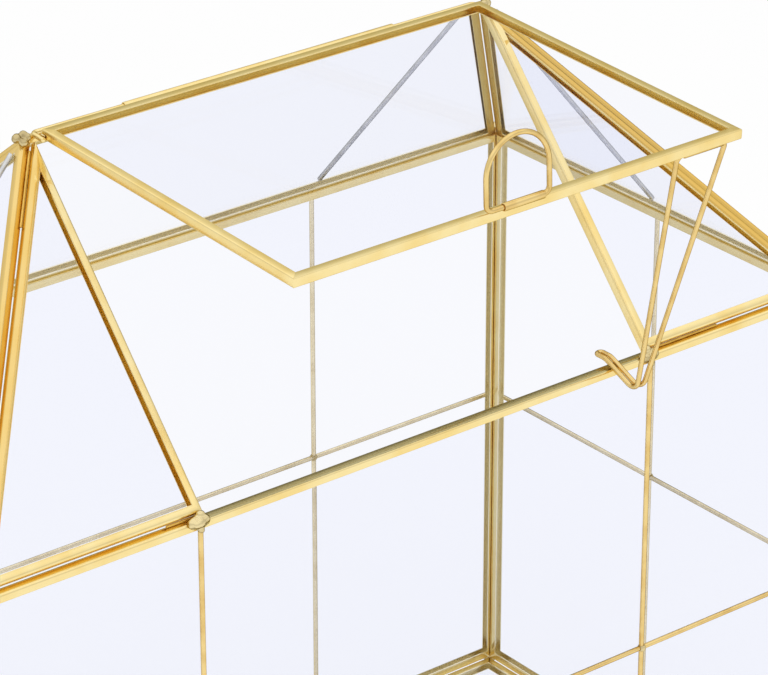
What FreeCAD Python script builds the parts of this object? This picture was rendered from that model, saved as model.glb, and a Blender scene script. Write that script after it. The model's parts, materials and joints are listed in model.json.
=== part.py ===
import FreeCAD, Part
import math
import os
import Sketcher
from FreeCAD import Vector

# House-shaped glass card box. Each pane of glass sits in its own folded brass channel, and the framed
# panes are soldered together at their corners. A lid in the front roof slope hinges at the ridge and
# stands on a wire prop. Millimetres. X runs along the ridge, the front faces -Y and Z is up. The origin
# is under the middle of the base.

doc = FreeCAD.newDocument("card_box")
sizes = doc.addObject("Spreadsheet::Sheet", "sizes")
DRIVING_SIZES = (
    ("base_length", 324, "between the middles of the end walls"),
    ("base_width", 163, "between the middles of the long walls"),
    ("wall_height", 214.5, "from the table to the eave fold"),
    ("roof_rise", 91, "from the eave fold to the ridge fold"),
    ("ridge_length", 170, "between the two rafter lines"),
    ("glass_thickness", 2.5, "every pane"),
    ("glass_play", 0.05, "between a pane and each face of its channel"),
    ("channel_sheet", 0.35, "brass sheet that the channel is folded from"),
    ("channel_leg", 2.7, "how far a channel covers the glass"),
    ("seam_gap", 0.3, "between the nearest edges of two channels"),
    ("film", 0.05, "solder film between two soldered pieces"),
    ("wire_diameter", 1.6, "ornamental wires, hinge pin, handle and prop"),
    ("cross_wire_height", 111, "cross wires of the back and the ends, above the table"),
    ("front_cross_height", 109.5, "cross wire of the front, above the table"),
    ("front_left_upright", 87.5, "front left upright from the middle"),
    ("front_right_upright", 85.4, "front right upright from the middle"),
    ("back_upright", 82, "back uprights from the middle"),
    ("back_roof_wire", 83.5, "back roof wires from the middle"),
    ("lid_side_gap", 2.2, "between the lid and each rafter line"),
    ("lid_lap", 1.5, "how far the lid runs past the eave fold"),
    ("lid_tilt", 1.9, "fall of the open lid below level, degrees"),
    ("tube_wall", 0.4, "wall of the hinge tube, the handle tube and the prop tube"),
    ("tube_play", 0.05, "radial play of a wire in its tube"),
    ("hinge_drop", 0.95, "hinge axis below the ridge fold, along the back slope"),
    ("hinge_lift", 0.75, "hinge axis above the middle of the back roof pane"),
    ("hinge_tube_length", 102, "tube on the ridge"),
    ("hinge_clearance", 2.7, "between the hinge tube and the lid"),
    ("pin_bend", 1.6, "bend radius where the hinge pin turns along the lid's end"),
    ("pin_lap", 2.2, "how far the turned end of the pin lies along the lid"),
    ("handle_offset", -4.2, "middle of the handle, right of the middle of the lid"),
    ("handle_width", 23.2, "between the legs of the handle"),
    ("handle_height", 21, "from the handle's axis to the top of its bow"),
    ("handle_lean", 4, "lean of the handle towards the ridge, degrees"),
    ("handle_bend", 2.2, "bend radius at the foot of the handle"),
    ("handle_tube_length", 14.9, "tube that the handle swings in"),
    ("handle_end_gap", 1.0, "between the two ends of the handle's wire, inside its tube"),
    ("prop_offset", 70.2, "middle of the prop, right of the middle of the lid"),
    ("prop_width", 19.2, "between the legs of the prop at its tube"),
    ("prop_tube_length", 14.4, "tube that the prop swings in"),
    ("prop_bend", 2.0, "bend radius where a leg turns into the tube"),
    ("hook_gap", 0.1, "between the hook's finger and the rail"),
    ("hook_shift", 1.2, "middle of the hook, right of the middle of the prop"),
    ("hook_spread", 2.2, "between the two strands of the hook"),
    ("hook_throat", 11.8, "from the rail's edge out to the foot of the hook"),
    ("hook_reach", 4.0, "from the rail's edge in to the bend of the finger"),
    ("hook_tip", 4.4, "level end of the finger"),
    ("hook_bend", 3.8, "bend radius at the foot of the hook"),
    ("finger_bend", 5.2, "bend radius where the finger turns level"),
    ("ridge_bead", 2.4, "radius of the solder at a ridge end"),
    ("ridge_bead_gap", 0.5, "between the hinge pin and the solder at a ridge end"),
    ("ridge_bead_depth", 2.15, "how far that solder reaches below the ridge fold"),
    ("corner_bead", 3.0, "radius of the solder at an eave or base corner"),
    ("base_bead_lift", 0.2, "solder of a base corner above the table"),
    ("crossing_bead", 1.5, "radius of the solder where wires cross"),
    ("rafter_bead_half_length", 4.0, "half the solder lump at a rafter's foot, along the rail"),
    ("rafter_bead_half_height", 2.3, "half that lump's height"),
    ("rafter_bead_depth", 1.9, "how far that lump stands out from the rail"),
    ("seam_solder", 0.42, "radius of the solder that runs in the front eave seam"),
    ("seam_solder_start", 1.2, "start of each run, out from the rafter line"),
    ("seam_solder_left", 11, "length of the run at the left"),
    ("seam_solder_right", 30, "length of the run at the right"),
    ("seam_solder_hip_start", 4.5, "start of the run in the left front hip seam, down from the ridge"),
    ("seam_solder_hip", 25, "length of that run"),
    ("hinge_bead", 0.45, "radius of the solder beside the hinge tube"),
    ("hinge_bead_length", 8, "each run of solder beside the hinge tube"),
    ("pin_solder_radius", 0.6, "roll of solder between the turned end of the pin and the lid"),
    ("pin_solder_out", 0.3, "middle of that roll out from the lid's end"),
    ("pin_solder_up", 0.95, "middle of that roll above the pin's axis"),
)
for row, (alias, number, meaning) in enumerate(DRIVING_SIZES, start=1):
    sizes.set(f"A{row}", meaning)
    sizes.set(f"B{row}", str(number))
    sizes.setAlias(f"B{row}", alias)
doc.recompute()

# Lengths and angles that follow from the driving sizes, as expressions
HALF_LENGTH = "sizes.base_length / 2"
HALF_WIDTH = "sizes.base_width / 2"
HALF_RIDGE = "sizes.ridge_length / 2"
HIP_RUN = "(sizes.base_length - sizes.ridge_length) / 2"
SLOPE = f"hypot({HALF_WIDTH}; sizes.roof_rise)"
HIP_SLOPE = f"hypot({HIP_RUN}; sizes.roof_rise)"
PITCH = f"atan2(sizes.roof_rise; {HALF_WIDTH})"
HIP_PITCH = f"atan2(sizes.roof_rise; {HIP_RUN})"
GROOVE = "(sizes.glass_thickness + 2 * sizes.glass_play)"
WEB = f"({GROOVE} + 2 * sizes.channel_sheet)"
WIRE_RADIUS = "sizes.wire_diameter / 2"
TUBE_BORE = f"({WIRE_RADIUS} + sizes.tube_play)"
TUBE_RADIUS = f"({TUBE_BORE} + sizes.tube_wall)"


def fold_setback(turn):
    """How far a channel stops short of a fold so that its inner edge clears its neighbour's."""
    return f"({WEB} / 2 * tan(({turn}) / 2) + sizes.seam_gap / 2)"


SQUARE_SETBACK = fold_setback("90 deg")
EAVE_SETBACK = fold_setback(f"90 deg - {PITCH}")
HIP_EAVE_SETBACK = fold_setback(f"90 deg - {HIP_PITCH}")
HIP_TURN = f"acos(cos({PITCH}) * cos({HIP_PITCH}))"
HIP_SETBACK = fold_setback(HIP_TURN)
BUTT_SETBACK = f"({WEB} / 2 + sizes.seam_gap)"

nodes = []


def value(expression):
    result = sizes.evalExpression(expression)
    return float(getattr(result, "Value", result))


def node(label, thing):
    """Register a document object as a piece of the box."""
    thing.Label = label
    nodes.append(thing)
    return thing


def made(kind, name, place=None, **bound):
    """Add an object with its sizes, and its placement, bound to expressions."""
    thing = doc.addObject(kind, name)
    for size, expression in bound.items():
        thing.setExpression(size, expression)
    if place:
        thing.setExpression("Placement", place)
    return thing


def placed(x, y, z, turn="0; 0; 0"):
    return f"placement(vector({x}; {y}; {z}); rotation({turn}))"


def cut(name, base, tools):
    """Part::Cut of one object by several."""
    joined = doc.addObject("Part::MultiFuse", f"{name}_tools")
    joined.Shapes = tools
    result = doc.addObject("Part::Cut", name)
    result.Base = base
    result.Tool = joined if len(tools) > 1 else tools[0]
    if len(tools) == 1:
        doc.removeObject(joined.Name)
    return result


def group(label, things):
    joined = doc.addObject("Part::Compound", label)
    joined.Links = things
    return node(label, joined)


# Framed panes

def outline(name, corners, place):
    """A closed sketch whose corners are held at expressions of the driving sizes."""
    sketch = made("Sketcher::SketchObject", f"{name}_outline", place)
    points = [Vector(value(x), value(y), 0) for x, y in corners]
    for start, end in zip(points, points[1:] + points[:1]):
        sketch.addGeometry(Part.LineSegment(start, end))
    for index, corner in enumerate(corners):
        following = (index + 1) % len(corners)
        sketch.addConstraint(Sketcher.Constraint("Coincident", index, 2, following, 1))
        for direction, expression in zip(("DistanceX", "DistanceY"), corner):
            constraint = Sketcher.Constraint(direction, -1, 1, index, 1, value(expression))
            number = sketch.addConstraint(constraint)
            sketch.renameConstraint(number, f"{direction}{index}")
            sketch.setExpression(f"Constraints.{direction}{index}", expression)
    return sketch


def slab(name, face, thickness):
    """A flat sheet of the given thickness, half on each side of its sketch."""
    sheet = made("Part::Extrusion", name, LengthFwd=thickness)
    sheet.Base = face
    sheet.DirMode = "Normal"
    sheet.Symmetric = True
    sheet.Solid = True
    return sheet


def inset(name, sketch, distance):
    edge = made("Part::Offset2D", name, Value=f"-({distance})")
    edge.Source = sketch
    edge.Join = "Intersection"
    return edge


def framed_pane(name, corners, place):
    """A pane of glass in its folded channel. Returns the solid envelope of the two."""
    edge = outline(name, corners, place)
    envelope = slab(f"{name}_envelope", edge, WEB)
    groove = slab(f"{name}_groove", inset(f"{name}_groove_edge", edge, "sizes.channel_sheet"), GROOVE)
    sight = slab(f"{name}_sight", inset(f"{name}_sight_edge", edge, "sizes.channel_leg"), f"2 * {WEB}")
    node(f"{name}_channel", cut(f"{name}_channel", envelope, [groove, sight]))
    glass_edge = inset(f"{name}_glass_edge", edge, "sizes.channel_sheet + sizes.glass_play")
    node(f"{name}_glass", slab(f"{name}_glass", glass_edge, "sizes.glass_thickness"))
    return envelope


def rectangle(half_width, low, high):
    return (
        (f"-({half_width})", low),
        (half_width, low),
        (half_width, high),
        (f"-({half_width})", high),
    )


def hip_half_width(foot, run, slope, y):
    """Half-width of a roof slope at height y, inside the channel of its hip."""
    return f"({foot} - {run} * ({y}) / {slope} - {HIP_SETBACK} * hypot({run}; {slope}) / {slope})"


# Local frames: x along the wall, y up the pane, z out of the box
AT_FRONT = ("0", f"-{HALF_WIDTH}", "0")
AT_BACK = ("0", HALF_WIDTH, "180")
AT_LEFT = (f"-{HALF_LENGTH}", "0", "-90")
AT_RIGHT = (HALF_LENGTH, "0", "90")


def wall_place(side):
    x, y, yaw = side
    return placed(x, y, "0", f"{yaw}; 0; 90")


def roof_place(side, pitch):
    x, y, yaw = side
    return placed(x, y, "sizes.wall_height", f"{yaw}; 0; {pitch}")


WALL_FOOT = f"({WEB} / 2 + {SQUARE_SETBACK})"
LONG_WALL_TOP = f"(sizes.wall_height - {EAVE_SETBACK})"
END_WALL_TOP = f"(sizes.wall_height - {HIP_EAVE_SETBACK})"
END_HALF_WIDTH = f"({HALF_WIDTH} - {BUTT_SETBACK})"

base_half_length = f"({HALF_LENGTH} - {SQUARE_SETBACK})"
base_half_width = f"({HALF_WIDTH} - {SQUARE_SETBACK})"
base_corners = rectangle(base_half_length, f"-{base_half_width}", base_half_width)
base = framed_pane("base", base_corners, placed("0", "0", f"{WEB} / 2"))

long_wall_corners = rectangle(HALF_LENGTH, WALL_FOOT, LONG_WALL_TOP)
end_wall_corners = rectangle(END_HALF_WIDTH, WALL_FOOT, END_WALL_TOP)
front_wall = framed_pane("front_wall", long_wall_corners, wall_place(AT_FRONT))
back_wall = framed_pane("back_wall", long_wall_corners, wall_place(AT_BACK))
left_wall = framed_pane("left_wall", end_wall_corners, wall_place(AT_LEFT))
right_wall = framed_pane("right_wall", end_wall_corners, wall_place(AT_RIGHT))

RIDGE_SETBACK = f"(sizes.hinge_drop + {TUBE_RADIUS} + sizes.film)"
back_roof_top = f"({SLOPE} - {RIDGE_SETBACK})"
back_foot_half = hip_half_width(HALF_LENGTH, HIP_RUN, SLOPE, EAVE_SETBACK)
back_top_half = hip_half_width(HALF_LENGTH, HIP_RUN, SLOPE, back_roof_top)
back_roof_corners = (
    (f"-{back_foot_half}", EAVE_SETBACK),
    (back_foot_half, EAVE_SETBACK),
    (back_top_half, back_roof_top),
    (f"-{back_top_half}", back_roof_top),
)
back_roof = framed_pane("back_roof", back_roof_corners, roof_place(AT_BACK, PITCH))

hip_foot_half = hip_half_width(HALF_WIDTH, HALF_WIDTH, HIP_SLOPE, HIP_EAVE_SETBACK)
hip_apex = f"({HIP_SLOPE} - {HIP_SETBACK} * hypot({HALF_WIDTH}; {HIP_SLOPE}) / ({HALF_WIDTH}))"
hip_corners = (
    (f"-{hip_foot_half}", HIP_EAVE_SETBACK),
    (hip_foot_half, HIP_EAVE_SETBACK),
    ("0", hip_apex),
)
left_hip = framed_pane("left_hip", hip_corners, roof_place(AT_LEFT, HIP_PITCH))
right_hip = framed_pane("right_hip", hip_corners, roof_place(AT_RIGHT, HIP_PITCH))

triangle_apex = f"({SLOPE} - {HIP_SETBACK} * hypot({HIP_RUN}; {SLOPE}) / ({HIP_RUN}))"
right_triangle_corners = (
    (HALF_RIDGE, EAVE_SETBACK),
    (back_foot_half, EAVE_SETBACK),
    (HALF_RIDGE, triangle_apex),
)
left_triangle_corners = (
    (f"-{HALF_RIDGE}", EAVE_SETBACK),
    (f"-{HALF_RIDGE}", triangle_apex),
    (f"-{back_foot_half}", EAVE_SETBACK),
)
left_triangle = framed_pane("front_left_roof", left_triangle_corners, roof_place(AT_FRONT, PITCH))
right_triangle = framed_pane("front_right_roof", right_triangle_corners, roof_place(AT_FRONT, PITCH))

# Lid and its hinge. The axis lies just behind the ridge fold. The lid's frame is as far above the axis
# as the closed lid needs to lie level with the front slope, with y towards the back and z up
HINGE_Y = f"(sizes.hinge_drop * cos({PITCH}) + sizes.hinge_lift * sin({PITCH}))"
HINGE_RISE = f"(sizes.hinge_lift * cos({PITCH}) - sizes.hinge_drop * sin({PITCH}))"
HINGE_Z = f"(sizes.wall_height + sizes.roof_rise + {HINGE_RISE})"
HINGE_PLACE = placed("0", HINGE_Y, HINGE_Z, "0; 0; sizes.lid_tilt")
LID_LIFT = f"({HINGE_Y} * sin({PITCH}) - {HINGE_RISE} * cos({PITCH}))"
LID_PLACE = f"{HINGE_PLACE} * {placed('0', '0', LID_LIFT)}"
LID_HALF_LENGTH = f"({HALF_RIDGE} - sizes.lid_side_gap)"
LID_SETBACK = f"({TUBE_RADIUS} + sizes.hinge_clearance)"
LID_REACH = f"({SLOPE} + {HINGE_Y} * cos({PITCH}) + {HINGE_RISE} * sin({PITCH}) + sizes.lid_lap)"
lid = framed_pane("lid", rectangle(LID_HALF_LENGTH, f"-{LID_REACH}", f"-{LID_SETBACK}"), LID_PLACE)
lid_turn = FreeCAD.Rotation(Vector(1, 0, 0), value("sizes.lid_tilt"))
hinge_frame = FreeCAD.Placement(Vector(0, value(HINGE_Y), value(HINGE_Z)), lid_turn)
lid_frame = hinge_frame * FreeCAD.Placement(Vector(0, 0, value(LID_LIFT)), FreeCAD.Rotation())


def bent_wire(label, points, bends):
    """A round wire of straight runs and tangent arcs. bends holds the radius at each inner point."""
    edges = []
    start = points[0]
    for before, corner, after, radius in zip(points, points[1:], points[2:], bends):
        back = (before - corner).normalize()
        forward = (after - corner).normalize()
        half_angle = back.getAngle(forward) / 2
        run = radius / math.tan(half_angle)
        bisector = (back + forward).normalize()
        middle = corner + bisector * (radius / math.sin(half_angle) - radius)
        arc_start = corner + back * run
        arc_end = corner + forward * run
        edges.append(Part.LineSegment(start, arc_start).toShape())
        edges.append(Part.Arc(arc_start, middle, arc_end).toShape())
        start = arc_end
    edges.append(Part.LineSegment(start, points[-1]).toShape())
    path = Part.Wire(edges)
    radius = value(WIRE_RADIUS)
    section = Part.Wire(Part.Circle(points[0], points[1] - points[0], radius).toShape())
    solid = path.makePipeShell([section], True, False)
    thing = doc.addObject("Part::Feature", label)
    thing.Shape = solid
    expected = path.Length * Part.Face(section).Area
    print(f"{label}: length {path.Length:.1f}, volume {solid.Volume:.2f}, expected {expected:.2f}")
    return node(label, thing)


# Hinge pin: a wire through the tube, with both ends turned along the ends of the lid
ALONG_X = "0; 90; 0"
PIN_OUT = f"({LID_HALF_LENGTH} + sizes.film + {WIRE_RADIUS})"
PIN_ARM = f"({LID_SETBACK} + sizes.pin_lap)"
pin_corners = [(-1, -value(PIN_ARM)), (-1, 0), (1, 0), (1, -value(PIN_ARM))]
pin_points = [hinge_frame.multVec(Vector(sign * value(PIN_OUT), y, 0)) for sign, y in pin_corners]
pin = bent_wire("lid_hinge_pin", pin_points, [value("sizes.pin_bend")] * 2)


def tube(label, place, bore_radius, outer_radius, length):
    """A plain tube along X. Returns its outside, as a solid rod."""
    outside = made("Part::Cylinder", f"{label}_outside", place, Radius=outer_radius, Height=length)
    bore = made("Part::Cylinder", f"{label}_bore", place, Radius=bore_radius, Height=length)
    node(label, cut(label, outside, [bore]))
    return outside


hinge_tube_place = placed("-sizes.hinge_tube_length / 2", HINGE_Y, HINGE_Z, ALONG_X)
hinge_rod = tube("ridge_hinge_tube", hinge_tube_place, TUBE_BORE, TUBE_RADIUS,
                 "sizes.hinge_tube_length")

# Solder above the turned ends of the pin, against the ends of the lid
pin_solder = []
for end, sign in (("left", "-1"), ("right", "1")):
    roll_x = f"{sign} * ({LID_HALF_LENGTH} + sizes.pin_solder_out)"
    local = placed(roll_x, f"-{LID_SETBACK}", "sizes.pin_solder_up", "0; 0; 90")
    roll = made("Part::Cylinder", f"pin_solder_{end}", f"{HINGE_PLACE} * {local}",
                Radius="sizes.pin_solder_radius", Height="sizes.pin_lap")
    pin_solder.append(cut(f"pin_solder_{end}_trimmed", roll, [pin, lid]))
group("lid_pin_solder", pin_solder)

# Solder in the groove between the hinge tube and the channel along the ridge
hinge_solder = []
for where, share in (("left", -1), ("middle", 0), ("right", 1)):
    middle = f"{share} * (sizes.hinge_tube_length / 2 - sizes.hinge_bead_length)"
    across = f"({SLOPE} - {RIDGE_SETBACK} + sizes.hinge_bead * 0.6)"
    outward = f"({WEB} / 2 + sizes.hinge_bead * 0.25)"
    local = placed(f"{middle} - sizes.hinge_bead_length / 2", across, outward, ALONG_X)
    roll = made("Part::Cylinder", f"hinge_solder_{where}", f"{roof_place(AT_BACK, PITCH)} * {local}",
                Radius="sizes.hinge_bead", Height="sizes.hinge_bead_length")
    hinge_solder.append(cut(f"hinge_solder_{where}_trimmed", roll, [hinge_rod, back_roof]))
group("hinge_tube_solder", hinge_solder)

# Ornamental wires on the outside of the panes
WIRE_STANDOFF = f"({WEB} / 2 + sizes.film + {WIRE_RADIUS})"
UPWARDS = "0; 0; -90"
HALF_LEG = "sizes.channel_leg / 2"


def straight_wire(name, pane_place, x, y, length, turn):
    place = f"{pane_place} * {placed(x, y, WIRE_STANDOFF, turn)}"
    return made("Part::Cylinder", name, place, Radius=WIRE_RADIUS, Height=length)


def wall_wires(name, side, half_width, top, upright_places, height):
    """Uprights from rail to rail, a cross wire in stretches between them, and a bead at each crossing."""
    place = wall_place(side)
    foot = f"({WALL_FOOT} + {HALF_LEG})"
    tall = f"{top} - {HALF_LEG} - {foot}"
    uprights = {}
    for which, x in upright_places:
        label = f"{name}_upright_wire{which}"
        uprights[x] = node(label, straight_wire(label, place, x, foot, tall, UPWARDS))
    stops = [f"(-({half_width}) + {HALF_LEG})"]
    for x in uprights:
        stops += [f"({x} - {WIRE_RADIUS} - sizes.film)", f"({x} + {WIRE_RADIUS} + sizes.film)"]
    stops.append(f"({half_width} - {HALF_LEG})")
    stretches = []
    for start, end in zip(stops[0::2], stops[1::2]):
        stretch = f"{name}_cross_wire_{len(stretches)}"
        length = f"{end} - {start}"
        stretches.append(straight_wire(stretch, place, start, height, length, ALONG_X))
    group(f"{name}_cross_wire", stretches)
    beads = []
    for x, upright in uprights.items():
        ball_place = f"{place} * {placed(x, height, WIRE_STANDOFF)}"
        ball = made("Part::Sphere", f"{name}_bead_{len(beads)}", ball_place, Radius="sizes.crossing_bead")
        envelope = doc.getObject(f"{name}_envelope")
        beads.append(cut(f"{name}_bead_{len(beads)}_trimmed", ball, [upright, envelope] + stretches))
    return beads


front_uprights = (("_left", "-sizes.front_left_upright"), ("_right", "sizes.front_right_upright"))
back_uprights = (("_left", "-sizes.back_upright"), ("_right", "sizes.back_upright"))
end_upright = (("", "0"),)
CROSS = "sizes.cross_wire_height"
front_beads = wall_wires("front_wall", AT_FRONT, HALF_LENGTH, LONG_WALL_TOP, front_uprights,
                         "sizes.front_cross_height")
back_beads = wall_wires("back_wall", AT_BACK, HALF_LENGTH, LONG_WALL_TOP, back_uprights, CROSS)
left_beads = wall_wires("left_wall", AT_LEFT, END_HALF_WIDTH, END_WALL_TOP, end_upright, CROSS)
right_beads = wall_wires("right_wall", AT_RIGHT, END_HALF_WIDTH, END_WALL_TOP, end_upright, CROSS)
group("wire_crossing_solder", front_beads + back_beads + left_beads + right_beads)

roof_wire_foot = f"({EAVE_SETBACK} + {HALF_LEG})"
for which, x in (("_left", "-sizes.back_roof_wire"), ("_right", "sizes.back_roof_wire")):
    label = f"back_roof_wire{which}"
    length = f"{back_roof_top} - sizes.channel_leg - {roof_wire_foot}"
    node(label, straight_wire(label, roof_place(AT_BACK, PITCH), x, roof_wire_foot, length, UPWARDS))
hip_wire_foot = f"({HIP_EAVE_SETBACK} + {HALF_LEG})"
for label, side in (("left_hip_wire", AT_LEFT), ("right_hip_wire", AT_RIGHT)):
    length = f"{hip_apex} - 2 * sizes.channel_leg - {hip_wire_foot}"
    node(label, straight_wire(label, roof_place(side, HIP_PITCH), "0", hip_wire_foot, length, UPWARDS))

# Solder where the framed panes meet, trimmed to the channels and kept out of the box
inner_place = placed(f"-{HALF_LENGTH} + {WEB} / 4", f"-{HALF_WIDTH} + {WEB} / 4", f"{WEB} / 2")
inside = made("Part::Box", "inside", inner_place,
              Length=f"sizes.base_length - {WEB} / 2", Width=f"sizes.base_width - {WEB} / 2",
              Height="sizes.wall_height")
under_ridge_place = placed(f"-{HALF_LENGTH}", f"-{HALF_WIDTH}", "sizes.wall_height")
under_ridge = made("Part::Box", "under_ridge", under_ridge_place, Length="sizes.base_length",
                   Width="sizes.base_width", Height="sizes.roof_rise - sizes.ridge_bead_depth")


def bead(name, x, y, z, radius, tools, turn="0; 0; 0"):
    ball = made("Part::Sphere", name, placed(x, y, z, turn), Radius=radius)
    return cut(f"{name}_trimmed", ball, tools)


ridge_z = "sizes.wall_height + sizes.roof_rise"
ends = (
    ("left", "-1", left_hip, left_wall, left_triangle),
    ("right", "1", right_hip, right_wall, right_triangle),
)
base_bead_z = "sizes.corner_bead + sizes.base_bead_lift"
ridge_beads = []
eave_beads = []
base_beads = []
foot_beads = []
for end, sign, hip, wall, triangle in ends:
    ridge_x = f"{sign} * ({PIN_OUT} + {WIRE_RADIUS} + sizes.ridge_bead_gap + sizes.ridge_bead)"
    ridge_beads.append(bead(f"ridge_bead_{end}", ridge_x, "0", ridge_z, "sizes.ridge_bead",
                            [hip, triangle, back_roof, under_ridge]))
    sides = (("front", "-1", front_wall, triangle), ("back", "1", back_wall, back_roof))
    for row, y_sign, long_wall, slope in sides:
        x = f"{sign} * {HALF_LENGTH}"
        y = f"{y_sign} * {HALF_WIDTH}"
        outward = f"atan2({y_sign}; {sign}); 90; 0"
        eave_beads.append(bead(f"eave_bead_{end}_{row}", x, y, "sizes.wall_height", "sizes.corner_bead",
                               [long_wall, wall, slope, hip, inside], outward))
        base_beads.append(bead(f"base_bead_{end}_{row}", x, y, base_bead_z, "sizes.corner_bead",
                               [long_wall, wall, base, inside], outward))
    foot_x = f"{sign} * sizes.front_{end}_upright"
    foot_place = placed(foot_x, f"-{HALF_WIDTH} - {WEB} / 2", LONG_WALL_TOP)
    lump = made("Part::Ellipsoid", f"rafter_bead_{end}", foot_place,
                Radius1="sizes.rafter_bead_half_height", Radius2="sizes.rafter_bead_half_length",
                Radius3="sizes.rafter_bead_depth")
    upright = doc.getObject(f"front_wall_upright_wire_{end}")
    foot_beads.append(cut(f"rafter_bead_{end}_trimmed", lump, [front_wall, triangle, upright, inside]))
group("ridge_end_solder", ridge_beads)
group("eave_corner_solder", eave_beads)
group("base_corner_solder", base_beads)
group("rafter_foot_solder", foot_beads)

# Solder that runs from each rafter's foot along the bottom of the eave seam
HALF_SEAM = f"((90 deg - {PITCH}) / 2)"
SEAM_IN = f"(({EAVE_SETBACK} - sizes.seam_solder - sizes.film) / sin({HALF_SEAM}))"
seam_y = f"-{HALF_WIDTH} + {SEAM_IN} * cos({HALF_SEAM})"
seam_z = f"sizes.wall_height - {SEAM_IN} * sin({HALF_SEAM})"
seam_starts = (
    ("left", f"-{HALF_RIDGE} - sizes.seam_solder_start - sizes.seam_solder_left"),
    ("right", f"{HALF_RIDGE} + sizes.seam_solder_start"),
)
seam_runs = []
for end, start in seam_starts:
    seam_runs.append(made("Part::Cylinder", f"seam_run_{end}", placed(start, seam_y, seam_z, ALONG_X),
                          Radius="sizes.seam_solder", Height=f"sizes.seam_solder_{end}"))

# A third run, down the seam of the left front hip from the ridge
hip_line = f"hypot(hypot({HIP_RUN}; {HALF_WIDTH}); sizes.roof_rise)"
hip_down = f"((sizes.seam_solder_hip_start + sizes.seam_solder_hip) / {hip_line})"
hip_in = f"(({HIP_SETBACK} - sizes.seam_solder - sizes.film) / sin({HIP_TURN}))"
hip_x = f"-{HALF_RIDGE} - {HIP_RUN} * {hip_down} + {hip_in} * sin({HIP_PITCH})"
hip_y = f"-{HALF_WIDTH} * {hip_down} + {hip_in} * sin({PITCH})"
hip_z = f"{ridge_z} - sizes.roof_rise * {hip_down} - {hip_in} * (cos({PITCH}) + cos({HIP_PITCH}))"
up_hip = f"atan2({HALF_WIDTH}; {HIP_RUN}); atan2(hypot({HIP_RUN}; {HALF_WIDTH}); sizes.roof_rise); 0"
seam_runs.append(made("Part::Cylinder", "seam_run_hip", placed(hip_x, hip_y, hip_z, up_hip),
                      Radius="sizes.seam_solder", Height="sizes.seam_solder_hip"))
group("front_seam_solder", seam_runs)

# Handle and prop tubes on the front bar of the lid
CORNER_OFFSET = f"(({TUBE_RADIUS} + sizes.film) * cos(45 deg))"
HANDLE_Y = f"(-{LID_REACH} - {CORNER_OFFSET})"
HANDLE_Z = f"({WEB} / 2 + {CORNER_OFFSET})"
HANDLE_TUBE_RIGHT = "(sizes.handle_offset + sizes.handle_width / 2 - sizes.handle_bend)"
handle_tube_left = f"{HANDLE_TUBE_RIGHT} - sizes.handle_tube_length"
handle_tube_place = f"{LID_PLACE} * {placed(handle_tube_left, HANDLE_Y, HANDLE_Z, ALONG_X)}"
tube("handle_tube", handle_tube_place, TUBE_BORE, TUBE_RADIUS, "sizes.handle_tube_length")

PROP_DROP = f"(sizes.glass_thickness / 2 + 2 * sizes.film + {TUBE_RADIUS})"
PROP_BACK = f"sqrt(pow({TUBE_RADIUS} + sizes.film; 2) - pow({PROP_DROP} - {WEB} / 2; 2))"
PROP_Y = f"(-{LID_REACH} + sizes.channel_leg + {PROP_BACK})"
prop_tube_left = "sizes.prop_offset - sizes.prop_tube_length / 2"
prop_tube_place = f"{LID_PLACE} * {placed(prop_tube_left, PROP_Y, f'-{PROP_DROP}', ALONG_X)}"
tube("prop_tube", prop_tube_place, TUBE_BORE, TUBE_RADIUS, "sizes.prop_tube_length")

# Handle: a D-shaped bow whose two ends meet inside the tube
handle_middle = value("sizes.handle_offset")
handle_half = value("sizes.handle_width") / 2
bow_top = value("sizes.handle_height")
end_x = value("sizes.handle_end_gap") / 2
handle_axis = Vector(0, value(HANDLE_Y), value(HANDLE_Z))
handle_turn = FreeCAD.Placement(handle_axis, FreeCAD.Rotation(Vector(1, 0, 0), -value("sizes.handle_lean")))
handle_points = [(end_x, 0), (handle_half, 0), (handle_half, bow_top), (-handle_half, bow_top),
                 (-handle_half, 0), (-end_x, 0)]
foot_bend = value("sizes.handle_bend")
bow_bend = handle_half - value("sizes.film")
bent_wire("handle_ring",
          [(lid_frame * handle_turn).multVec(Vector(handle_middle + x, 0, z)) for x, z in handle_points],
          [foot_bend, bow_bend, bow_bend, foot_bend])

# Prop: two legs from the tube to a doubled hook. Its finger lies square to the line from the prop's axis
# to the outer edge of the front rail, so the weight of the lid presses straight through the hook into it
prop_axis = lid_frame.multVec(Vector(value("sizes.prop_offset"), value(PROP_Y), -value(PROP_DROP)))
rail_edge = Vector(prop_axis.x, -value(HALF_WIDTH) - value(WEB) / 2, value(LONG_WALL_TOP))
downwards = (rail_edge - prop_axis).normalize()
inwards = Vector(1, 0, 0).cross(downwards) * -1
if inwards.y < 0:
    inwards = inwards * -1
finger_line = rail_edge - downwards * (value(WIRE_RADIUS) + value("sizes.hook_gap"))
hook_foot = finger_line - inwards * value("sizes.hook_throat")
finger_bend = finger_line + inwards * value("sizes.hook_reach")
finger_tip = finger_bend + Vector(0, value("sizes.hook_tip"), 0)
to_leg = value("sizes.prop_width") / 2
to_strand = value("sizes.hook_spread") / 2
to_hook = Vector(value("sizes.hook_shift"), 0, 0)
into_tube = value("sizes.prop_tube_length") / 4
prop_corners = [
    (prop_axis, into_tube),
    (prop_axis, to_leg),
    (hook_foot + to_hook, to_strand),
    (finger_bend + to_hook, to_strand),
    (finger_tip + to_hook, to_strand),
]
right_half = [place + Vector(aside, 0, 0) for place, aside in prop_corners]
left_half = [place - Vector(aside, 0, 0) for place, aside in prop_corners]
half_bends = [value(f"sizes.{name}") for name in ("prop_bend", "hook_bend", "finger_bend")]
half_bends.append(to_strand - value("sizes.film"))
bent_wire("prop_wire", right_half + left_half[::-1], half_bends + half_bends[::-1])

doc.recompute()

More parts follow.
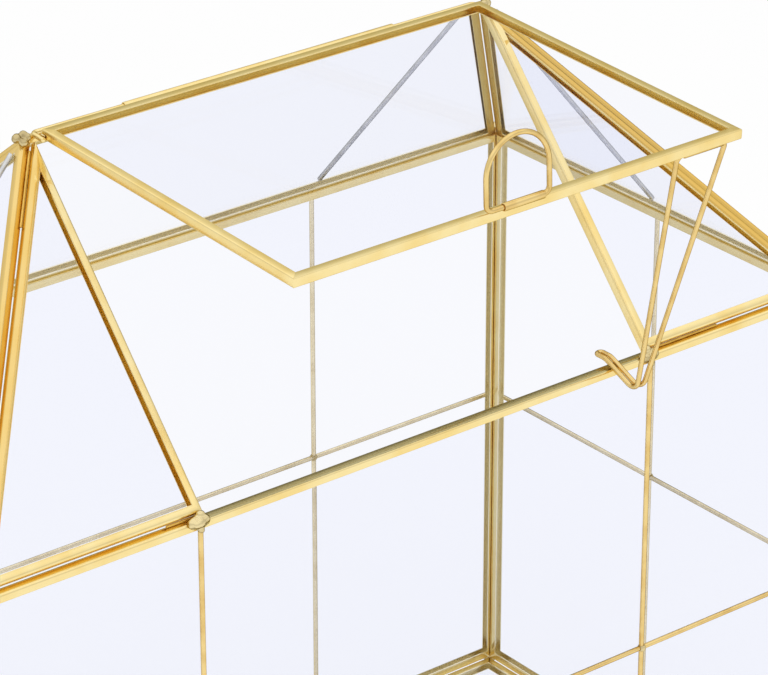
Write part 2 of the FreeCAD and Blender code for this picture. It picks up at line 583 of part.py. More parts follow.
# Every object has to be sound before anything is written
for thing in doc.Objects:
    if {"Invalid", "Error"} & set(thing.State):
        raise RuntimeError(f"{thing.Label} failed: {thing.State}")
for thing in nodes:
    if thing.Shape.isNull() or not thing.Shape.isValid() or not thing.Shape.Solids:
        raise RuntimeError(f"{thing.Label} has no sound shape")

os.makedirs("parts", exist_ok=True)
for thing in nodes:
    thing.Shape.exportStep(f"parts/{thing.Label}.step")
print(f"{len(nodes)} nodes, {sum(len(thing.Shape.Solids) for thing in nodes)} solids")
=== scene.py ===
import json
import math

import bpy
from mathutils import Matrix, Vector

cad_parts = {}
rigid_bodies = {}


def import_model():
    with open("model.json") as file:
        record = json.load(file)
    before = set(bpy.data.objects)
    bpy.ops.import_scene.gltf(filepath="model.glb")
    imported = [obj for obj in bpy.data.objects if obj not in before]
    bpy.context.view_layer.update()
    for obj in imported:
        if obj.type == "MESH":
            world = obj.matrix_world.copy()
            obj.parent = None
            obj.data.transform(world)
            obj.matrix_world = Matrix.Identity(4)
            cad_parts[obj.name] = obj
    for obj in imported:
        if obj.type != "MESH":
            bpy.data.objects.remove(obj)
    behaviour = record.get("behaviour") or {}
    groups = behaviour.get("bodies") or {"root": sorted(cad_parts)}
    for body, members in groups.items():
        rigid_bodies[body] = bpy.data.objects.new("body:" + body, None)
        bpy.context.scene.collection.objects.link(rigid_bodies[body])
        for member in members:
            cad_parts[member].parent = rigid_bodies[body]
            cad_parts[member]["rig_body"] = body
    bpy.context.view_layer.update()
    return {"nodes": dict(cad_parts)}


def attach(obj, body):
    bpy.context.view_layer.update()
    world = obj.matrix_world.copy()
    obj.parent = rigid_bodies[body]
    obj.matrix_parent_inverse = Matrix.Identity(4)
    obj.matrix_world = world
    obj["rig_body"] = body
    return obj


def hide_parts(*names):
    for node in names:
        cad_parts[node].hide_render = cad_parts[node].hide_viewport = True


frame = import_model()

# Studio. The box stands on a wide white table in soft white light. Behind it and to its right the table and
# the low part of the room are darker, and the ceiling is brighter, which only the metal mirrors. The camera
# looks down from the left.
FLOOR_WIDTH = 40.0
FLOOR_LEVEL = -0.0004
FLOOR_WHITE = (0.90, 0.90, 0.90, 1.0)
FLOOR_GLOW = 0.93
DARK_WAY = (0.62, 0.78, 0.0)
TABLE_DARK = 0.3
TABLE_DARK_FROM = 0.0
TABLE_DARK_TO = 0.3
ROOM_DARK_FROM = 0.50
ROOM_DARK_TO = 0.75
DARK_ROOM = 0.45
DARK_TOP = 0.47
DARK_FADE = 0.04
BARE_METAL_SHARE = 0.1
UP_WAY = (0.0, 0.0, 1.0)
CEILING_FULL = 0.65
CEILING_GAIN = 0.35
LAMP_PLACE = (-0.9, -1.3, 2.2)
LAMP_WIDTH = 1.6
LAMP_WATTS = 26.0
LIGHT_BOUNCES = 40
GLOSSY_BOUNCES = 12
CAMERA_PLACE = (-0.6735, -0.9026, 0.7608)
CAMERA_TURN = (64.1, 0.0, -38.585)
CAMERA_LENS = 187.5
CAMERA_NEAR = 0.05
CAMERA_FAR = 100.0

scene = bpy.context.scene
scene.view_settings.view_transform = "Standard"
scene.cycles.max_bounces = LIGHT_BOUNCES
scene.cycles.transmission_bounces = LIGHT_BOUNCES
scene.cycles.glossy_bounces = GLOSSY_BOUNCES
scene.cycles.transparent_max_bounces = LIGHT_BOUNCES
bpy.ops.object.select_all(action="DESELECT")
bpy.ops.mesh.primitive_plane_add(size=FLOOR_WIDTH, location=(0.0, 0.0, FLOOR_LEVEL))
floor = bpy.context.object
floor.name = "studio_floor"


def new_material(name):
    """An empty node material, its nodes, its links and its output."""
    material = bpy.data.materials.new(name)
    material.use_nodes = True
    nodes = material.node_tree.nodes
    nodes.clear()
    return material, nodes, material.node_tree.links, nodes.new("ShaderNodeOutputMaterial")


def ramp(nodes, links, value, start, stop, low, high, shape="SMOOTHSTEP"):
    """A step of a socket between two numbers, smooth or linear. Returns its output."""
    step = nodes.new("ShaderNodeMapRange")
    step.interpolation_type = shape
    for name, number in zip(("From Min", "From Max", "To Min", "To Max"), (start, stop, low, high)):
        step.inputs[name].default_value = number
    links.new(value, step.inputs["Value"])
    return step.outputs["Result"]


def along_way(nodes, links, place, direction):
    """How far a place or a direction reaches along another direction."""
    reach = nodes.new("ShaderNodeVectorMath")
    reach.operation = "DOT_PRODUCT"
    reach.inputs[1].default_value = Vector(direction).normalized()
    links.new(place, reach.inputs[0])
    return reach.outputs["Value"]


def sum_up(nodes, links, operation, first, second):
    """A Math node on two sockets or numbers. Returns its output."""
    step = nodes.new("ShaderNodeMath")
    step.operation = operation
    for value, socket in zip((first, second), step.inputs):
        if isinstance(value, (int, float)):
            socket.default_value = value
        else:
            links.new(value, socket)
    return step.outputs[0]


table_white, nodes, links, output = new_material("table_white")
table_white.cycles.emission_sampling = "NONE"
rays = nodes.new("ShaderNodeLightPath").outputs
seen = sum_up(nodes, links, "MAXIMUM", rays["Is Camera Ray"], rays["Is Glossy Ray"])
seen = sum_up(nodes, links, "MAXIMUM", seen, rays["Is Transmission Ray"])
paper = nodes.new("ShaderNodeBsdfDiffuse")
paper.inputs["Color"].default_value = FLOOR_WHITE
glow = nodes.new("ShaderNodeEmission")
mirrored = sum_up(nodes, links, "MINIMUM", rays["Glossy Depth"], 1.0)
place = nodes.new("ShaderNodeNewGeometry").outputs["Position"]
far = along_way(nodes, links, place, DARK_WAY)
far = ramp(nodes, links, far, TABLE_DARK_FROM, TABLE_DARK_TO, 0.0, TABLE_DARK)
far = sum_up(nodes, links, "MULTIPLY", far, mirrored)
links.new(sum_up(nodes, links, "SUBTRACT", 1.0, far), glow.inputs["Strength"])
blend = nodes.new("ShaderNodeMixShader")
links.new(sum_up(nodes, links, "MULTIPLY", seen, FLOOR_GLOW), blend.inputs[0])
links.new(paper.outputs[0], blend.inputs[1])
links.new(glow.outputs[0], blend.inputs[2])
links.new(blend.outputs[0], output.inputs["Surface"])
floor.data.materials.append(table_white)

room = bpy.data.worlds.new("white_room")
room.use_nodes = True
room.cycles.sampling_method = "NONE"
nodes, links = room.node_tree.nodes, room.node_tree.links
nodes.clear()
output = nodes.new("ShaderNodeOutputWorld")
way = nodes.new("ShaderNodeTexCoord").outputs["Generated"]
towards_dark = along_way(nodes, links, way, DARK_WAY)
upward = along_way(nodes, links, way, UP_WAY)
loss = ramp(nodes, links, towards_dark, ROOM_DARK_FROM, ROOM_DARK_TO, 0.0, 1.0 - DARK_ROOM)
low = ramp(nodes, links, upward, DARK_TOP - DARK_FADE, DARK_TOP, 1.0, 0.0)
gain = ramp(nodes, links, upward, DARK_TOP - DARK_FADE, CEILING_FULL, 0.0, CEILING_GAIN)
rays = nodes.new("ShaderNodeLightPath").outputs
mirrored = sum_up(nodes, links, "MINIMUM", rays["Glossy Depth"], 1.0)
# Metal that stands behind glass mirrors all of the dark part, and bare metal only a share of it.
through = sum_up(nodes, links, "MINIMUM", rays["Transmission Depth"], 1.0)
through = sum_up(nodes, links, "MAXIMUM", through, BARE_METAL_SHARE)
loss = sum_up(nodes, links, "MULTIPLY", sum_up(nodes, links, "MULTIPLY", loss, low), through)
change = sum_up(nodes, links, "MULTIPLY", sum_up(nodes, links, "SUBTRACT", gain, loss), mirrored)
sky = nodes.new("ShaderNodeBackground")
links.new(sum_up(nodes, links, "ADD", 1.0, change), sky.inputs["Strength"])
links.new(sky.outputs[0], output.inputs["Surface"])
scene.world = room

bpy.ops.object.light_add(type="AREA", location=LAMP_PLACE)
lamp = bpy.context.object
lamp.name = "soft_lamp"
lamp.data.size = LAMP_WIDTH
lamp.data.energy = LAMP_WATTS
lamp.visible_glossy = False
lamp.visible_transmission = False
lamp.rotation_euler = (-Vector(LAMP_PLACE)).to_track_quat("-Z", "Y").to_euler()
bpy.ops.object.camera_add(location=CAMERA_PLACE, rotation=[math.radians(a) for a in CAMERA_TURN])
scene.camera = bpy.context.object
scene.camera.data.lens = CAMERA_LENS
scene.camera.data.clip_start = CAMERA_NEAR
scene.camera.data.clip_end = CAMERA_FAR

# Panes. Eleven sheets of clear 2.5 mm glass, cut to shape and slid into their channels before the corners
# are closed. Drawn glass is a little wavy, and its faint blue shows where panes stand behind each other.
PANES = ("base", "front_wall", "back_wall", "left_wall", "right_wall", "back_roof", "left_hip", "right_hip",
         "front_left_roof", "front_right_roof", "lid")
GLASS_TINT = (0.950, 0.958, 0.998, 1.0)
GLASS_BEND = 1.05
WAVE_SCALE = 14.0
WAVE_DETAIL = 1.0
WAVE_STRENGTH = 0.03
WAVE_HEIGHT = 0.001


def noise(nodes, links, place, scale, detail):
    """Clouds of noise over a place. Returns their output."""
    clouds = nodes.new("ShaderNodeTexNoise")
    clouds.inputs["Scale"].default_value = scale
    clouds.inputs["Detail"].default_value = detail
    links.new(place, clouds.inputs["Vector"])
    return clouds.outputs[0]


def relief(nodes, links, pattern, strength, height, surface):
    """Lets a pattern stand out a little on a surface."""
    bump = nodes.new("ShaderNodeBump")
    bump.inputs["Strength"].default_value = strength
    bump.inputs["Distance"].default_value = height
    links.new(pattern, bump.inputs["Height"])
    links.new(bump.outputs[0], surface.inputs["Normal"])


clear_glass, nodes, links, output = new_material("clear_glass")
glass = nodes.new("ShaderNodeBsdfPrincipled")
glass.inputs["Base Color"].default_value = GLASS_TINT
glass.inputs["Roughness"].default_value = 0.0
glass.inputs["IOR"].default_value = GLASS_BEND
glass.inputs["Transmission Weight"].default_value = 1.0
links.new(glass.outputs[0], output.inputs["Surface"])
where = nodes.new("ShaderNodeTexCoord").outputs["Object"]
waves = noise(nodes, links, where, WAVE_SCALE, WAVE_DETAIL)
relief(nodes, links, waves, WAVE_STRENGTH, WAVE_HEIGHT, glass)
for pane in PANES:
    sheet = frame["nodes"][pane + "_glass"]
    sheet.data.materials.clear()
    sheet.data.materials.append(clear_glass)

# Channels. A strip of brass 0.35 mm thick, folded to a U over each edge of a pane and mitred at the corners.
# The folds are round on the outside of the box and tight inside and on the lid. Painted shade darkens the
# grooves and inner sides, the far bars and front top of the lid, and the rail top under it. At the back a
# pale wash of painted light lifts the grooves and inner sides, and the hips are amber.
FRONT_PANES = ("front_wall", "front_left_roof", "front_right_roof", "lid")
BOX_HEART = (0.0, 0.0, 0.15)
MERGE_GAP = 0.000002
FLAT_ANGLE = math.radians(0.5)
POINT_DIGITS = 6
OUTER_SKIN = 0.001
GROOVE_LIMIT = 0.0003
FACE_ON = 0.7
FOLD_ANGLE = math.radians(25)
FOLD_STEPS = 4
FOLD_ROUND = 0.0010
LID_ROUND = 0.0005
CORNER_ROUND = 0.0004
TIGHT_ROUND = 0.00015
LIP_ROUND = 0.00008
BAR_WIDTH = 0.0027
MITRE_MARGIN = 0.002
MOUTH_HALF = 0.088
ALONG_BOX = (1.0, 0.0, 0.0)
CUT_GAP = 0.000001
SMOOTH_BAR = math.radians(35)
PALE_BRASS = (0.96, 0.79, 0.39, 1.0)
DEEP_BRASS = (0.92, 0.69, 0.26, 1.0)
EDGE_BRASS = (0.78, 0.66, 0.36, 1.0)
AMBER_BRASS = (0.78, 0.49, 0.11, 1.0)
# Painted shade: the dark brass tone mixed in where a face is marked with painted shade.
PAINTED_SHADE_BRASS = (0.30, 0.27, 0.14, 1.0)
# Painted light: a pale wash that lifts the grooves and inner sides of the panes at the back.
PAINTED_LIGHT_WASH = (0.90, 0.86, 0.70, 1.0)
# Shares of painted shade and of pale painted light on the faces of the channels, by where they lie.
GROOVE_PAINTED_SHADE = 0.08
GROOVE_PAINTED_LIGHT = 0.8
INSIDE_PAINTED_SHADE = 0.04
BACK_PAINTED_SHADE = 0.22
BACK_PAINTED_LIGHT = 0.2
RAIL_TOP_PAINTED_SHADE = 0.75
LID_FAR_PAINTED_SHADE = 0.35
LID_FRONT_PAINTED_SHADE = 0.3
HIP_AMBER = 0.5
FRONT_RIGHT_AMBER = 0.9
LENGTHWISE = 0.5
SLANTING = 0.3
BRUSHED = 0.5
LINE_STRETCH = (60.0, 6000.0, 1.0)
LINE_DETAIL = 3.0
LINE_SPREAD = (0.3, 0.7)
LINE_GLOSS = (0.14, 0.26)
LINE_STRENGTH = 0.12
LINE_HEIGHT = 0.00004
TARNISH_SCALE = 90.0
TARNISH_DETAIL = 4.0
TARNISH_SPREAD = (0.38, 0.72)


def copy_of(node_name):
    """A merged copy of a CAD node's mesh, alone, selected and active, that stands for the node."""
    bpy.ops.object.select_all(action="DESELECT")
    mesh = frame["nodes"][node_name].data.copy()
    mesh.materials.clear()
    piece = bpy.data.objects.new("finished_" + node_name, mesh)
    scene.collection.objects.link(piece)
    piece.select_set(True)
    bpy.context.view_layer.objects.active = piece
    bpy.ops.mesh.customdata_custom_splitnormals_clear()
    bpy.ops.object.mode_set(mode="EDIT")
    bpy.ops.mesh.select_all(action="SELECT")
    bpy.ops.mesh.remove_doubles(threshold=MERGE_GAP)
    bpy.ops.mesh.dissolve_limited(angle_limit=FLAT_ANGLE)
    bpy.ops.object.mode_set(mode="OBJECT")
    return piece


def stands_for(piece, node_name, material):
    """Puts the finish on a copy and gives it its node's body."""
    piece.data.materials.append(material)
    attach(piece, frame["nodes"][node_name]["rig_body"])
    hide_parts(node_name)


def lie_of(sheet):
    """The middle of a pane, its outward normal, and the corners of its outer face in order."""
    middle = sum((Vector(corner) for corner in sheet.bound_box), Vector()) / len(sheet.bound_box)
    outward = max(sheet.data.polygons, key=lambda face: face.area).normal.copy()
    if outward.dot(middle - Vector(BOX_HEART)) < 0:
        outward.negate()
    points = {tuple(round(value, POINT_DIGITS) for value in point.co) for point in sheet.data.vertices}
    points = [Vector(point) for point in sorted(points)]
    height = max(point.dot(outward) for point in points)
    corners = [point for point in points if point.dot(outward) > height - OUTER_SKIN]
    first = (corners[0] - middle).normalized()
    second = outward.cross(first)
    corners.sort(key=lambda point: math.atan2((point - middle).dot(second), (point - middle).dot(first)))
    return middle, outward, corners


def is_exposed(face, middle):
    """Whether a face of a channel looks away from its pane, and isn't in the groove."""
    return face.normal.dot(face.center - middle) > GROOVE_LIMIT


def run_of(mesh, face):
    """The direction of a face's longest edge, which runs along its bar."""
    edges = [mesh.vertices[b].co - mesh.vertices[a].co for a, b in face.edge_keys]
    return max(edges, key=lambda edge: edge.length).normalized()


def round_folds(piece, on_lid, middle, outward):
    """Rounds the folds of a channel by where they are, and its cut lips hardly at all."""
    mesh = piece.data
    sides = {}
    for face in mesh.polygons:
        side = (face.normal.copy(), is_exposed(face, middle), face.normal.dot(outward))
        for key in face.edge_keys:
            sides.setdefault(key, []).append(side)
    weights = mesh.attributes.new("bevel_weight_edge", "FLOAT", "EDGE")
    for edge in mesh.edges:
        pair = sides[edge.key]
        if len(pair) != 2 or pair[0][0].angle(pair[1][0]) < FOLD_ANGLE:
            continue
        facings = [facing for normal, exposed, facing in pair]
        if not (pair[0][1] and pair[1][1]):
            size = LIP_ROUND if pair[0][1] or pair[1][1] else 0.0
        elif on_lid:
            size = LID_ROUND if max(facings) > FACE_ON or min(facings) < -FACE_ON else TIGHT_ROUND
        elif max(facings) > FACE_ON:
            size = FOLD_ROUND
        elif min(facings) < -FACE_ON:
            size = TIGHT_ROUND
        else:
            size = CORNER_ROUND
        weights.data[edge.index].value = size / FOLD_ROUND
    rounding = piece.modifiers.new("rounding", "BEVEL")
    rounding.limit_method = "WEIGHT"
    rounding.width = FOLD_ROUND
    rounding.segments = FOLD_STEPS
    rounding.use_clamp_overlap = False
    bpy.ops.object.modifier_apply(modifier=rounding.name)


def mitre_cuts(corners):
    """The planes of a frame's mitres, and of the bars just beyond them, each by a point and a direction."""
    cuts = []
    for index, corner in enumerate(corners):
        back = (corners[index - 1] - corner).normalized()
        on = (corners[(index + 1) % len(corners)] - corner).normalized()
        reach = BAR_WIDTH / math.tan(back.angle(on) / 2) + MITRE_MARGIN
        cuts += [(corner, (on - back).normalized()), (corner + back * reach, back), (corner + on * reach, on)]
    return cuts


def part_faces(cuts):
    """Parts the faces of the active piece along planes, so that each bar has its own drawing and tone."""
    bpy.ops.object.mode_set(mode="EDIT")
    for place, across in cuts:
        bpy.ops.mesh.select_all(action="SELECT")
        bpy.ops.mesh.bisect(plane_co=place, plane_no=across, threshold=CUT_GAP)
    bpy.ops.object.mode_set(mode="OBJECT")


def mark_tones(piece, pane, middle, outward):
    """Marks on each face of a channel its share of painted shade, of amber and of pale painted light."""
    mesh = piece.data
    tones = ("painted_shade", "amber", "painted_light")
    for tone in tones:
        mesh.attributes.new(tone, "FLOAT", "FACE")
    painted_shade, amber, painted_light = (mesh.attributes[tone].data for tone in tones)
    at_front = pane in FRONT_PANES
    for face in mesh.polygons:
        away = face.center - middle
        facing = face.normal.dot(outward)
        bar = run_of(mesh, face)
        exposed = is_exposed(face, middle)
        lengthwise = abs(bar.x) >= LENGTHWISE
        far_bar = away.y > 0.0 if lengthwise else away.x > 0.0
        # Painted shade in the grooves, on inner sides, far lid bars, the lid's front top and the rail top
        # under the mouth.
        if not exposed and at_front:
            painted_shade[face.index].value = GROOVE_PAINTED_SHADE
        # At the back the grooves get a pale wash of painted light instead of painted shade.
        elif not exposed:
            painted_light[face.index].value = GROOVE_PAINTED_LIGHT
        elif facing < -FACE_ON and at_front:
            painted_shade[face.index].value = INSIDE_PAINTED_SHADE
        elif facing < -FACE_ON:
            painted_shade[face.index].value = BACK_PAINTED_SHADE
            painted_light[face.index].value = BACK_PAINTED_LIGHT
        elif pane == "front_wall" and face.normal.z > FACE_ON and abs(face.center.x) < MOUTH_HALF:
            painted_shade[face.index].value = RAIL_TOP_PAINTED_SHADE
        elif pane == "lid" and far_bar:
            painted_shade[face.index].value = LID_FAR_PAINTED_SHADE
        elif pane == "lid" and lengthwise and facing > FACE_ON:
            painted_shade[face.index].value = LID_FRONT_PAINTED_SHADE
        if exposed and abs(bar.x) > SLANTING and abs(bar.y) > SLANTING:
            front_right = face.center.x > 0.0 and face.center.y < 0.0
            amber[face.index].value = FRONT_RIGHT_AMBER if front_right else HIP_AMBER


def lay_drawing_lines(piece):
    """A UV map in metres whose first axis runs along each face's bar, as the strip was drawn."""
    mesh = piece.data
    drawn = mesh.uv_layers.new(name="drawn")
    for face in mesh.polygons:
        along = run_of(mesh, face)
        across = face.normal.cross(along)
        for corner in face.loop_indices:
            place = mesh.vertices[mesh.loops[corner].vertex_index].co
            drawn.data[corner].uv = (place.dot(along), place.dot(across))


def tone_mix(nodes, links, share, base, tone):
    """Goes from a base, which is a colour or a socket, to a tone as its share grows. Returns its output."""
    mix = nodes.new("ShaderNodeMix")
    mix.data_type = "RGBA"
    links.new(share, mix.inputs["Factor"])
    if isinstance(base, tuple):
        mix.inputs["A"].default_value = base
    else:
        links.new(base, mix.inputs["A"])
    mix.inputs["B"].default_value = tone
    return mix.outputs["Result"]


channel_brass, nodes, links, output = new_material("channel_brass")
brass = nodes.new("ShaderNodeBsdfPrincipled")
brass.inputs["Metallic"].default_value = 1.0
brass.inputs["Anisotropic"].default_value = BRUSHED
brass.inputs["Specular Tint"].default_value = EDGE_BRASS
links.new(brass.outputs[0], output.inputs["Surface"])
where = nodes.new("ShaderNodeTexCoord").outputs["Object"]
tarnish = noise(nodes, links, where, TARNISH_SCALE, TARNISH_DETAIL)
tarnish = ramp(nodes, links, tarnish, *TARNISH_SPREAD, 0.0, 1.0, "LINEAR")
tone = tone_mix(nodes, links, tarnish, PALE_BRASS, DEEP_BRASS)
# The marks mix in amber, painted shade and a pale wash of painted light.
for mark, added in (("amber", AMBER_BRASS), ("painted_shade", PAINTED_SHADE_BRASS), ("painted_light", PAINTED_LIGHT_WASH)):
    marked = nodes.new("ShaderNodeAttribute")
    marked.attribute_name = mark
    tone = tone_mix(nodes, links, marked.outputs["Fac"], tone, added)
links.new(tone, brass.inputs["Base Color"])
along = nodes.new("ShaderNodeUVMap")
along.uv_map = "drawn"
stretch = nodes.new("ShaderNodeMapping")
stretch.inputs["Scale"].default_value = LINE_STRETCH
links.new(along.outputs["UV"], stretch.inputs["Vector"])
lines = noise(nodes, links, stretch.outputs[0], 1.0, LINE_DETAIL)
links.new(ramp(nodes, links, lines, *LINE_SPREAD, *LINE_GLOSS, "LINEAR"), brass.inputs["Roughness"])
relief(nodes, links, lines, LINE_STRENGTH, LINE_HEIGHT, brass)
grain = nodes.new("ShaderNodeTangent")
grain.direction_type = "UV_MAP"
grain.uv_map = "drawn"
links.new(grain.outputs[0], brass.inputs["Tangent"])
for pane in PANES:
    bars = copy_of(pane + "_channel")
    middle, outward, corners = lie_of(frame["nodes"][pane + "_glass"])
    round_folds(bars, pane == "lid", middle, outward)
    part_faces(mitre_cuts(corners))
    if pane == "front_wall":
        part_faces([((end, 0.0, 0.0), ALONG_BOX) for end in (-MOUTH_HALF, MOUTH_HALF)])
    mark_tones(bars, pane, middle, outward)
    lay_drawing_lines(bars)
    bpy.ops.object.shade_smooth_by_angle(angle=SMOOTH_BAR)
    stands_for(bars, pane + "_channel", channel_brass)

# Wires. Round brass wire 1.6 mm thick, cut to length, its ends dressed with a file, and soldered to the
# channels outside the glass. The wires of the front are bright. Those of the back and the ends are the same
# brass painted paler and greyer, as painted light for how they are lit, seen through the glass.
FRONT_WIRES = ("front_wall_upright_wire_left", "front_wall_upright_wire_right", "front_wall_cross_wire")
PAINTED_LIGHT_WIRES = ("back_wall_upright_wire_left", "back_wall_upright_wire_right", "left_wall_upright_wire",
              "right_wall_upright_wire", "back_wall_cross_wire", "left_wall_cross_wire",
              "right_wall_cross_wire")
WIRE_GOLD = (0.88, 0.66, 0.28, 1.0)
WIRE_SHADE = (0.72, 0.48, 0.16, 1.0)
WIRE_GLOSS = (0.12, 0.24)
# A paler, greyer copy of the wire brass: painted light for the back and end wires seen from inside.
PAINTED_LIGHT_GOLD = (0.90, 0.79, 0.53, 1.0)
PAINTED_LIGHT_DEEP = (0.76, 0.64, 0.40, 1.0)
DULL_GLOSS = (0.18, 0.32)
# Edge tint as a share of the darker tone: painted dark reflections at the grazing edges.
EDGE_SHADE = 0.5
CLOUD_SCALE = 140.0
CLOUD_DETAIL = 4.0
CLOUD_SPREAD = (0.4, 0.75)
GRAIN_SCALE = 2200.0
GRAIN_DETAIL = 2.0
GRAIN_SPREAD = (0.3, 0.7)
GRAIN_STRENGTH = 0.15
GRAIN_HEIGHT = 0.00005
CUT_END = math.radians(60)
END_ROUND = 0.00025
END_STEPS = 3
SMOOTH_WIRE = math.radians(50)


def wire_finish(name, bright, shaded, gloss):
    """Bare metal: two tones in soft clouds, painted darker reflections at its edges, with a fine grain in its
    gloss.
    """
    material, nodes, links, output = new_material(name)
    metal = nodes.new("ShaderNodeBsdfPrincipled")
    metal.inputs["Metallic"].default_value = 1.0
    metal.inputs["Specular Tint"].default_value = [EDGE_SHADE * tone for tone in shaded[:3]] + [1.0]
    links.new(metal.outputs[0], output.inputs["Surface"])
    where = nodes.new("ShaderNodeTexCoord").outputs["Object"]
    cloud = noise(nodes, links, where, CLOUD_SCALE, CLOUD_DETAIL)
    cloud = ramp(nodes, links, cloud, *CLOUD_SPREAD, 0.0, 1.0, "LINEAR")
    links.new(tone_mix(nodes, links, cloud, bright, shaded), metal.inputs["Base Color"])
    fine = noise(nodes, links, where, GRAIN_SCALE, GRAIN_DETAIL)
    links.new(ramp(nodes, links, fine, *GRAIN_SPREAD, *gloss, "LINEAR"), metal.inputs["Roughness"])
    relief(nodes, links, fine, GRAIN_STRENGTH, GRAIN_HEIGHT, metal)
    return material


def dressed_wire(node_name):
    """A copy of a wire or a tube whose cut ends are broken with a file."""
    piece = copy_of(node_name)
    ends = piece.modifiers.new("dressed_ends", "BEVEL")
    ends.limit_method = "ANGLE"
    ends.angle_limit = CUT_END
    ends.width = END_ROUND
    ends.segments = END_STEPS
    bpy.ops.object.modifier_apply(modifier=ends.name)
    bpy.ops.object.shade_smooth_by_angle(angle=SMOOTH_WIRE)
    return piece


wire_brass = wire_finish("wire_brass", WIRE_GOLD, WIRE_SHADE, WIRE_GLOSS)
for name in FRONT_WIRES:
    stands_for(dressed_wire(name), name, wire_brass)
painted_light_wire = wire_finish("painted_light_wire_brass", PAINTED_LIGHT_GOLD, PAINTED_LIGHT_DEEP, DULL_GLOSS)
for name in PAINTED_LIGHT_WIRES:
    stands_for(dressed_wire(name), name, painted_light_wire)

# Roof wires. The same wire, tinned all over and so grey, on the back slope and the two hip ends. Each runs up
# the outside of its pane and is soldered to the channel at both ends.
ROOF_WIRES = ("back_roof_wire_left", "back_roof_wire_right", "left_hip_wire", "right_hip_wire")
TIN_GREY = (0.78, 0.78, 0.77, 1.0)
TIN_SHADE = (0.60, 0.60, 0.60, 1.0)
TIN_GLOSS = (0.3, 0.5)

tinned_wire = wire_finish("tinned_wire", TIN_GREY, TIN_SHADE, TIN_GLOSS)
for name in ROOF_WIRES:
    stands_for(dressed_wire(name), name, tinned_wire)

# Solder. Soft tin run into the corners by hand, which set in lumps and took on a champagne tone from the
# brass. Each lump is melted together from the drops that were laid there, and its skin is uneven. At the
# ends of the ridge and at the feet of the rafters the drops were laid one by one.
LUMPS = ("wire_crossing_solder", "ridge_end_solder", "eave_corner_solder", "base_corner_solder",
         "rafter_foot_solder", "front_seam_solder", "lid_pin_solder", "hinge_tube_solder")
SOLDER_PALE = (0.84, 0.70, 0.38, 1.0)
SOLDER_DARK = (0.42, 0.32, 0.15, 1.0)
SOLDER_GLOSS = (0.16, 0.30)
SEAM_PALE = (0.86, 0.58, 0.16, 1.0)
SEAM_DARK = (0.66, 0.42, 0.10, 1.0)
SEAM_GLOSS = (0.3, 0.5)
DROPS = {
    "ridge_end_solder": (
        (-0.0895, 0.0005, 0.3054, 0.0016), (-0.0882, -0.0012, 0.3042, 0.0014),
        (-0.0866, -0.0006, 0.3055, 0.0013), (-0.0872, 0.0003, 0.3062, 0.0013),
        (-0.0863, 0.0010, 0.3050, 0.0014), (0.0880, 0.0005, 0.3046, 0.0019),
        (0.0866, -0.0003, 0.3050, 0.0014), (0.0864, 0.0009, 0.3043, 0.0012)),
    "rafter_foot_solder": (
        (-0.0868, -0.0830, 0.2158, 0.0015), (-0.0890, -0.0843, 0.2139, 0.0015),
        (-0.0858, -0.0843, 0.2146, 0.0014), (-0.0875, -0.0844, 0.2117, 0.0012),
        (-0.0876, -0.0842, 0.2141, 0.0018), (0.0846, -0.0830, 0.2159, 0.0016),
        (0.0866, -0.0843, 0.2150, 0.0015), (0.0838, -0.0842, 0.2140, 0.0014),
        (0.0854, -0.0844, 0.2117, 0.0012), (0.0853, -0.0842, 0.2141, 0.0018)),
}
DROP_SEGMENTS = 32
DROP_RINGS = 16
DROP_GRAIN = 0.00018
SOFT_SHARE = 0.5
LUMP_ROUNDS = 30
SEAM_ROUNDS = 2
SKIN_WAVE = 0.0022
SKIN_FOLDS = 1
SKIN_LEVEL = 0.65
SKIN_DEPTH = 0.00045
SEAM_DEPTH = 0.00012

uneven = bpy.data.textures.new("uneven_skin", "CLOUDS")
uneven.noise_scale = SKIN_WAVE
uneven.noise_depth = SKIN_FOLDS


def lay_drop(x, y, z, radius):
    """One drop of solder, alone, selected and active."""
    bpy.ops.object.select_all(action="DESELECT")
    bpy.ops.mesh.primitive_uv_sphere_add(
        segments=DROP_SEGMENTS, ring_count=DROP_RINGS, radius=radius, location=(x, y, z))
    bpy.ops.object.transform_apply()
    return bpy.context.object


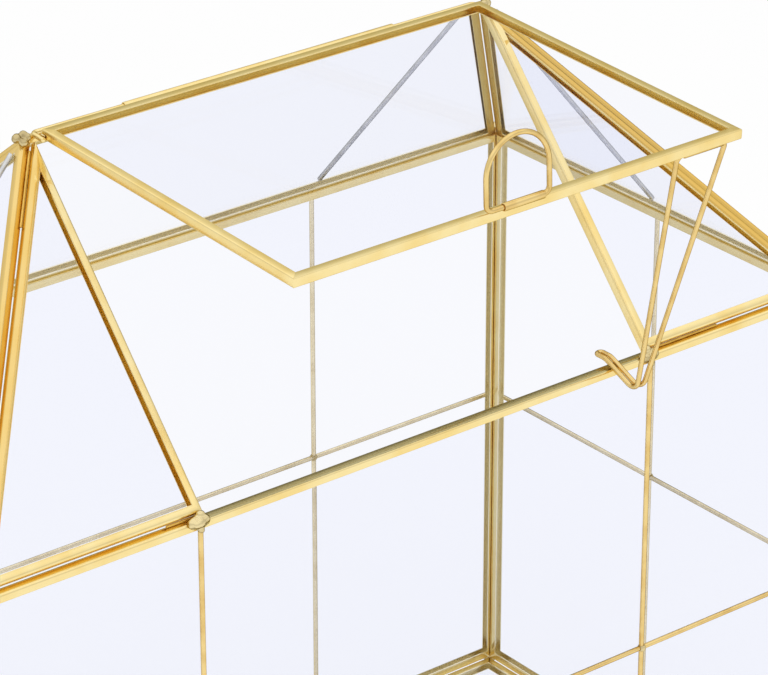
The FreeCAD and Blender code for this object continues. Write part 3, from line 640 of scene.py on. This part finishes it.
def melt(piece, rounds, depth):
    """Runs the drops of a piece together and leaves a smooth, slightly uneven skin."""
    together = piece.modifiers.new("run_together", "REMESH")
    together.mode = "VOXEL"
    together.voxel_size = DROP_GRAIN
    soft = piece.modifiers.new("soft", "SMOOTH")
    soft.factor = SOFT_SHARE
    soft.iterations = rounds
    skin = piece.modifiers.new("skin", "DISPLACE")
    skin.texture = uneven
    skin.texture_coords = "LOCAL"
    skin.strength = depth
    skin.mid_level = SKIN_LEVEL
    for modifier in [together, soft, skin]:
        bpy.ops.object.modifier_apply(modifier=modifier.name)
    bpy.ops.object.shade_smooth()


solder = wire_finish("solder", SOLDER_PALE, SOLDER_DARK, SOLDER_GLOSS)
seam_solder = wire_finish("seam_solder", SEAM_PALE, SEAM_DARK, SEAM_GLOSS)
for name in LUMPS:
    drops = list(DROPS.get(name, ()))
    if name == "ridge_end_solder":
        lump = lay_drop(*drops.pop(0))
        lump.name = "finished_" + name
    else:
        lump = copy_of(name)
    for drop in drops:
        lay_drop(*drop)
        lump.select_set(True)
        bpy.context.view_layer.objects.active = lump
        bpy.ops.object.join()
    if name == "front_seam_solder":
        melt(lump, SEAM_ROUNDS, SEAM_DEPTH)
        stands_for(lump, name, seam_solder)
    else:
        melt(lump, LUMP_ROUNDS, SKIN_DEPTH)
        stands_for(lump, name, solder)

# Lid hinge. A drawn brass tube soldered along the ridge bar of the back slope, and a brass wire that turns in
# it. The ends of the wire are bent along the ends of the lid and soldered there.
HINGE_GLOSS = (0.22, 0.36)

hinge_brass = wire_finish("hinge_brass", PALE_BRASS, DEEP_BRASS, HINGE_GLOSS)
for name in ("ridge_hinge_tube", "lid_hinge_pin"):
    stands_for(dressed_wire(name), name, hinge_brass)

# Handle. A finger ring of brass wire bent to a D. Its straight side turns in a short brass tube that is
# soldered to the front bar of the lid.
handle_brass = wire_finish("handle_brass", WIRE_GOLD, WIRE_SHADE, WIRE_GLOSS)
for name in ("handle_tube", "handle_ring"):
    stands_for(dressed_wire(name), name, handle_brass)

# Prop. One brass wire bent to a narrow V that ends in a hook, which lies over the front rail and holds the
# lid open. Its top hangs in a short brass tube that is soldered under the front bar of the lid.
prop_brass = wire_finish("prop_brass", WIRE_GOLD, WIRE_SHADE, WIRE_GLOSS)
for name in ("prop_tube", "prop_wire"):
    stands_for(dressed_wire(name), name, prop_brass)
